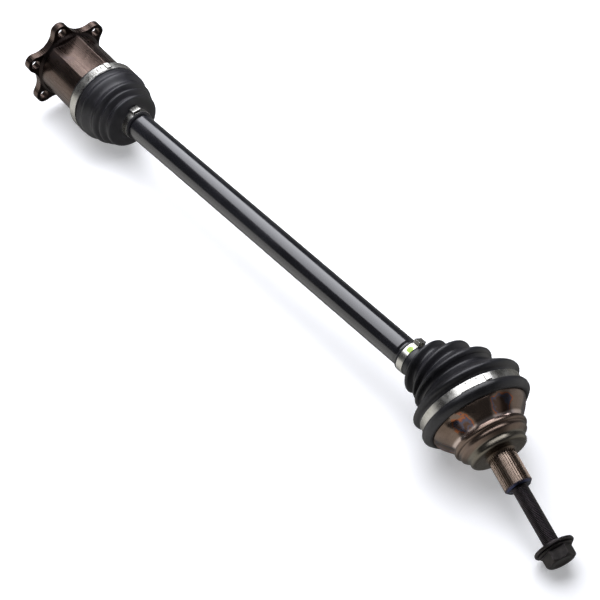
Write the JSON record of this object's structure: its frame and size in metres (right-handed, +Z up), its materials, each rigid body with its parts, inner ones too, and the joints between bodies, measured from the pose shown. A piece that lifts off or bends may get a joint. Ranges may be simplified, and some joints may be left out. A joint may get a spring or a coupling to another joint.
{
  "type": "cv axle",
  "caption": "Drive shaft with a plunging tripod joint and lobed bolt flange at one end, a ball joint with splined stub and hub bolt at the other, and ribbed rubber boots with clamps.",
  "frame": {"origin": "on the floor under the middle of the bounding box, with the axle lying on one flange lobe, the outer boot's bead and the hub bolt's washer", "axes": "+X along the shaft from the flanged joint towards the splined stub, +Z up"},
  "size_m": [0.8572, 0.1169, 0.1168],
  "materials": {
    "forged_steel_dark": "dark oxide skin, semi-gloss",
    "zinc_plate": "zinc plated, satin",
    "black_plastic": "moulded, matt",
    "boot_rubber": "soft sheen",
    "clamp_steel": "stainless strip, bright",
    "ground_steel": "machined and oiled",
    "spring_steel": "blued",
    "gloss_black_paint": "gloss black",
    "bearing_steel": "polished",
    "heat_tinted_steel": "machined, tinted by induction hardening",
    "black_phosphate_steel": "phosphated, matt"
  },
  "bodies": {
    "tulip": {"tulip_housing": "forged_steel_dark", "tulip_end_plug": "zinc_plate", "boot_adapter": "black_plastic", "inner_boot": "boot_rubber", "inner_large_clamp": "clamp_steel"},
    "slider_1": {"roller_sleeve_1": "bearing_steel", "needle_set_1": "bearing_steel"},
    "roller_1": {"roller_ring_1": "bearing_steel"},
    "slider_2": {"roller_sleeve_2": "bearing_steel", "needle_set_2": "bearing_steel"},
    "roller_2": {"roller_ring_2": "bearing_steel"},
    "slider_3": {"roller_sleeve_3": "bearing_steel", "needle_set_3": "bearing_steel"},
    "roller_3": {"roller_ring_3": "bearing_steel"},
    "shaft": {"shaft": "gloss_black_paint", "spider": "ground_steel", "spider_circlip": "spring_steel", "inner_race": "ground_steel", "race_circlip": "spring_steel", "inner_small_clamp": "clamp_steel", "outer_small_clamp": "clamp_steel"},
    "cage": {"cage": "ground_steel", "ball_1": "bearing_steel", "ball_2": "bearing_steel", "ball_3": "bearing_steel", "ball_4": "bearing_steel", "ball_5": "bearing_steel", "ball_6": "bearing_steel"},
    "bell": {"bell_housing": "heat_tinted_steel", "outer_boot": "boot_rubber", "outer_large_clamp": "clamp_steel"},
    "washer": {"hub_bolt_washer": "black_phosphate_steel"},
    "bolt": {"hub_bolt": "black_phosphate_steel"}
  },
  "joints": [
    {"name": "plunge", "type": "slide", "parent": "tulip", "child": "slider_1", "axis": [0.9982, -0.0589, -0.0072], "range_m": [-0.01, 0.012], "deforming": ["inner_boot"]},
    {"name": "inner_bend", "type": "hinge", "parent": "slider_1", "child": "shaft", "pos_m": [-0.36672, -0.00266, 0.0555], "axis": [0, 0.1219, -0.9925], "range_deg": [-13.6, 20.4], "deforming": ["inner_boot"]},
    {"name": "slider_2_travel", "type": "slide", "parent": "slider_1", "child": "slider_2", "axis": [0.9982, -0.0589, -0.0072], "range_m": [-0.0056, 0.008]},
    {"name": "slider_3_travel", "type": "slide", "parent": "slider_1", "child": "slider_3", "axis": [0.9982, -0.0589, -0.0072], "range_m": [-0.008, 0.0056]},
    {"name": "roller_1_spin", "type": "hinge", "parent": "slider_1", "child": "roller_1", "pos_m": [-0.36672, 0.00026, 0.03168], "axis": [0, 0.1219, -0.9925], "continuous": true},
    {"name": "roller_2_spin", "type": "hinge", "parent": "slider_2", "child": "roller_2", "pos_m": [-0.36672, 0.01654, 0.06995], "axis": [0.0514, 0.7971, 0.6016], "continuous": true},
    {"name": "roller_3_spin", "type": "hinge", "parent": "slider_3", "child": "roller_3", "pos_m": [-0.36672, -0.02479, 0.06487], "axis": [-0.0514, -0.919, 0.3909], "continuous": true},
    {"name": "outer_bend_shaft_half", "type": "hinge", "parent": "shaft", "child": "cage", "pos_m": [0.26828, -0.00266, 0.0555], "axis": [0, 0.7266, -0.6871], "range_deg": [-32.09, 12.94], "deforming": ["outer_boot"]},
    {"name": "outer_bend_stub_half", "type": "hinge", "parent": "cage", "child": "bell", "pos_m": [0.26828, -0.00266, 0.0555], "axis": [0, 0.7266, -0.6871], "range_deg": [-32.08, 12.93], "deforming": ["outer_boot"]},
    {"name": "bolt_advance", "type": "slide", "parent": "bell", "child": "washer", "axis": [0.9447, -0.2254, -0.2383], "range_m": [-0.027, 0.012]},
    {"name": "bolt_turn", "type": "hinge", "parent": "washer", "child": "bolt", "pos_m": [0.40809, -0.03602, 0.02022], "axis": [0.9447, -0.2254, -0.2383], "range_deg": [-6490, 2890]}
  ],
  "couplings": [
    {"joint": "slider_2_travel", "follows": "inner_bend", "m_per_rad": 0.020639},
    {"joint": "slider_3_travel", "follows": "inner_bend", "m_per_rad": -0.020639},
    {"joint": "outer_bend_shaft_half", "follows": "outer_bend_stub_half", "ratio": 1},
    {"joint": "bolt_turn", "follows": "bolt_advance", "rad_per_m": 4188.8}
  ]
}
